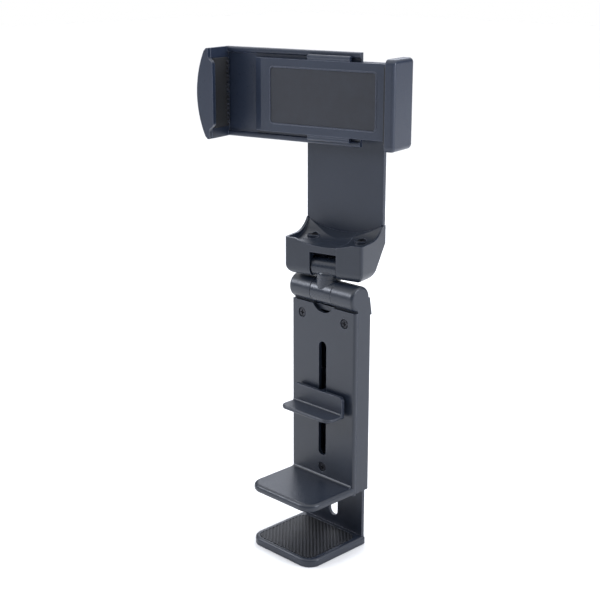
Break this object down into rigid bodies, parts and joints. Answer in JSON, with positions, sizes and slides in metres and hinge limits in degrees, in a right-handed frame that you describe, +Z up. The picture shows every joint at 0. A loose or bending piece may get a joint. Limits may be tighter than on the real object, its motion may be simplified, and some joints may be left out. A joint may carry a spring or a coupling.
{
  "type": "clamp-on phone holder",
  "caption": "Folding holder that clamps to a desk or tray edge, with a sliding lower jaw, a thumb ledge, a double-jointed neck and a wide sliding phone clip.",
  "frame": {"origin": "on the underside of the lower jaw, below the middle of the column's front face", "axes": "+Z up the column, -Y the way the clamp jaws point, X across the width"},
  "size_m": [0.1092, 0.0563, 0.246],
  "materials": {
    "moulded_shell": "fine spark-eroded moulded texture",
    "moulded_knuckle": "satin moulded",
    "rubber_pad": "moulded rubber",
    "blackened_screw": "black oxide",
    "steel_pin": "ground",
    "spring_steel": "rolled strip"
  },
  "bodies": {
    "base": {"lower_jaw": "moulded_shell", "lower_jaw_pad": "rubber_pad", "thumb_ledge": "moulded_shell", "ledge_screws": "blackened_screw", "brake_springs": "spring_steel"},
    "column": {"front_cover": "moulded_shell", "upper_jaw_pad": "rubber_pad", "rear_shell": "moulded_shell", "cover_screws": "blackened_screw", "lower_hinge_pin": "steel_pin", "lower_hinge_washers": "spring_steel"},
    "neck": {"lower_knuckle": "moulded_knuckle"},
    "swivel": {"upper_knuckle": "moulded_knuckle", "swivel_screw": "blackened_screw", "swivel_washer": "spring_steel"},
    "head": {"head_left_shell": "moulded_shell", "head_right_shell": "moulded_shell", "head_screws": "blackened_screw", "arm_plate": "moulded_shell", "upper_hinge_pin": "steel_pin", "upper_hinge_washers": "spring_steel", "pivot_screw": "blackened_screw", "pivot_washer": "spring_steel"},
    "clip": {"clip_base": "moulded_shell", "clip_panel": "moulded_shell", "rest_pad": "rubber_pad", "clip_screws": "blackened_screw", "fixed_jaw_pad": "rubber_pad", "brake_leaf": "spring_steel"},
    "grip": {"sliding_jaw": "moulded_shell", "sliding_jaw_pad": "rubber_pad"}
  },
  "joints": [
    {"name": "clamp_slide", "type": "slide", "parent": "base", "child": "column", "axis": [0, 0, -1], "range_m": [-0.022, 0.0243]},
    {"name": "lower_hinge", "type": "hinge", "parent": "column", "child": "neck", "pos_m": [0, 0.004, 0.1308], "axis": [1, 0, 0], "range_deg": [-75, 100]},
    {"name": "neck_swivel", "type": "hinge", "parent": "neck", "child": "swivel", "pos_m": [0, 0.004, 0.1378], "axis": [0, 0, 1], "continuous": true},
    {"name": "head_tilt", "type": "hinge", "parent": "swivel", "child": "head", "pos_m": [0.00018, 0.00322, 0.1434], "axis": [0.9751, 0.2215, 0], "range_deg": [-15, 92]},
    {"name": "clip_rotate", "type": "hinge", "parent": "head", "child": "clip", "pos_m": [-0.00241, 0.01463, 0.2239], "axis": [-0.2215, 0.9751, 0], "range_deg": [-45, 180]},
    {"name": "clip_slide", "type": "slide", "parent": "clip", "child": "grip", "axis": [0.9751, 0.2215, 0], "range_m": [-0.012, 0.0152]}
  ]
}
